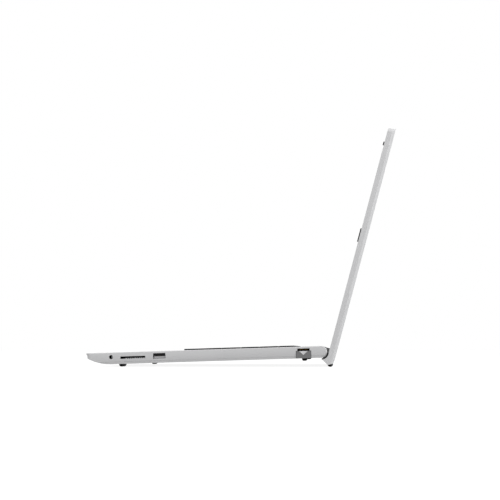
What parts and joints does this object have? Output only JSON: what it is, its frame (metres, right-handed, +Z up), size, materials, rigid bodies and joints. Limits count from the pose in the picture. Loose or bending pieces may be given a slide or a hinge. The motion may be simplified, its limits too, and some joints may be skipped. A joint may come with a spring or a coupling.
{
  "type": "laptop computer",
  "caption": "Open silver laptop computer with a lift hinge: the lid's tail stands on the table and raises the rear; black keys, number pad, drop-jaw network port.",
  "frame": {"origin": "on the table under the middle of the open laptop's bounding box", "axes": "+X to the laptop's right, +Y to the rear, +Z up from the table"},
  "size_m": [0.361, 0.3122, 0.239],
  "materials": {
    "satin_silver_shell": "satin",
    "black_key_plastic": "fine matte",
    "silver_web": "satin",
    "black_rubber": "matte",
    "spring_steel": "brushed",
    "black_steel_screw": "black oxide",
    "silicone_dome": "matte",
    "touchpad_glass": "satin",
    "circuit_board": "solder mask",
    "chip_black": "matte",
    "copper": "bare copper",
    "fin_aluminium": "raw",
    "black_plastic": "matte",
    "grey_plastic": "matte",
    "socket_steel": "plated",
    "battery_wrap": "wrapped",
    "display_black": "semi-gloss",
    "bezel_plastic": "fine matte",
    "cable_film": "film"
  },
  "bodies": {
    "base": {"top_case": "satin_silver_shell", "bottom_cover": "satin_silver_shell", "front_feet": "black_rubber", "rear_feet": "black_rubber", "case_screws": "black_steel_screw", "keyboard_web": "silver_web", "keyboard_plate": "spring_steel", "key_domes": "silicone_dome", "touchpad_bracket": "spring_steel", "motherboard": "circuit_board", "board_screws": "black_steel_screw", "processor": "chip_black", "heat_spreader": "copper", "heat_pipe": "copper", "fin_stack": "fin_aluminium", "fan_housing": "black_plastic", "board_sockets": "grey_plastic", "memory_module": "circuit_board", "solid_state_drive": "circuit_board", "wireless_card": "circuit_board", "battery_pack": "battery_wrap", "left_speaker": "black_plastic", "right_speaker": "black_plastic", "io_board": "circuit_board", "right_usb_socket": "socket_steel", "card_reader": "grey_plastic", "audio_jack": "black_plastic", "network_jack": "black_plastic", "power_inlet": "black_plastic", "hdmi_socket": "socket_steel", "left_usb_socket": "socket_steel", "usb_c_socket": "socket_steel", "left_hinge_bracket": "spring_steel", "right_hinge_bracket": "spring_steel", "hinge_screws": "black_steel_screw"},
    "lid": {"lid_cover": "satin_silver_shell", "display_bezel": "bezel_plastic", "display_panel": "display_black", "camera_module": "black_plastic", "lid_bumpers": "black_rubber", "lid_foot": "black_rubber", "cradle_strip": "black_rubber", "left_hinge_arm": "spring_steel", "right_hinge_arm": "spring_steel", "hinge_covers": "grey_plastic", "hinge_nuts": "spring_steel", "lid_screws": "black_steel_screw", "display_cable": "cable_film"},
    "fan": {"fan_rotor": "black_plastic"},
    "touchpad": {"touchpad": "touchpad_glass"},
    "network_jaw": {"network_jaw": "grey_plastic"},
    "function_keys": {"function_keys": "black_key_plastic"},
    "number_keys": {"number_keys": "black_key_plastic"},
    "upper_letter_keys": {"upper_letter_keys": "black_key_plastic"},
    "home_letter_keys": {"home_letter_keys": "black_key_plastic"},
    "lower_letter_keys": {"lower_letter_keys": "black_key_plastic"},
    "control_keys": {"control_keys": "black_key_plastic"},
    "space_bar": {"space_bar": "black_key_plastic"},
    "numpad_enter_key": {"numpad_enter_key": "black_key_plastic"},
    "power_button": {"power_button": "black_key_plastic"}
  },
  "joints": [
    {"name": "lid_hinge", "type": "hinge", "parent": "base", "child": "lid", "pos_m": [0, 0.08058, 0.01495], "axis": [-1, 0, 0], "range_deg": [-106.8, 28.2]},
    {"name": "fan_spin", "type": "hinge", "parent": "base", "child": "fan", "pos_m": [0, 0.0282, 0.01021], "axis": [0, -0.0312, 0.9995], "continuous": true},
    {"name": "touchpad_click", "type": "hinge", "parent": "base", "child": "touchpad", "pos_m": [-0.0336, -0.07088, 0.01437], "axis": [1, 0, 0], "range_deg": [0, 0.4], "stiffness_Nm_per_rad": 8, "springref_deg": -0.34},
    {"name": "jaw_drop", "type": "hinge", "parent": "base", "child": "network_jaw", "pos_m": [0.1641, 0.06293, 0.0114], "axis": [0, 0.9995, 0.0312], "range_deg": [0, 18], "stiffness_Nm_per_rad": 0.03, "springref_deg": -14.32},
    {"name": "function_keys_press", "type": "slide", "parent": "base", "child": "function_keys", "axis": [0, 0.0312, -0.9995], "range_m": [0, 0.0013], "stiffness_N_per_m": 500, "springref_m": -0.0012},
    {"name": "number_keys_press", "type": "slide", "parent": "base", "child": "number_keys", "axis": [0, 0.0312, -0.9995], "range_m": [0, 0.0013], "stiffness_N_per_m": 900, "springref_m": -0.0012},
    {"name": "upper_letter_keys_press", "type": "slide", "parent": "base", "child": "upper_letter_keys", "axis": [0, 0.0312, -0.9995], "range_m": [0, 0.0013], "stiffness_N_per_m": 900, "springref_m": -0.0012},
    {"name": "home_letter_keys_press", "type": "slide", "parent": "base", "child": "home_letter_keys", "axis": [0, 0.0312, -0.9995], "range_m": [0, 0.0013], "stiffness_N_per_m": 900, "springref_m": -0.0012},
    {"name": "lower_letter_keys_press", "type": "slide", "parent": "base", "child": "lower_letter_keys", "axis": [0, 0.0312, -0.9995], "range_m": [0, 0.0013], "stiffness_N_per_m": 900, "springref_m": -0.0012},
    {"name": "control_keys_press", "type": "slide", "parent": "base", "child": "control_keys", "axis": [0, 0.0312, -0.9995], "range_m": [0, 0.0013], "stiffness_N_per_m": 800, "springref_m": -0.0012},
    {"name": "space_bar_press", "type": "slide", "parent": "base", "child": "space_bar", "axis": [0, 0.0312, -0.9995], "range_m": [0, 0.0013], "stiffness_N_per_m": 500, "springref_m": -0.0012},
    {"name": "numpad_enter_key_press", "type": "slide", "parent": "base", "child": "numpad_enter_key", "axis": [0, 0.0312, -0.9995], "range_m": [0, 0.0013], "stiffness_N_per_m": 450, "springref_m": -0.0012},
    {"name": "power_button_press", "type": "slide", "parent": "base", "child": "power_button", "axis": [0, 0.0312, -0.9995], "range_m": [0, 0.0013], "stiffness_N_per_m": 600, "springref_m": -0.0012}
  ]
}
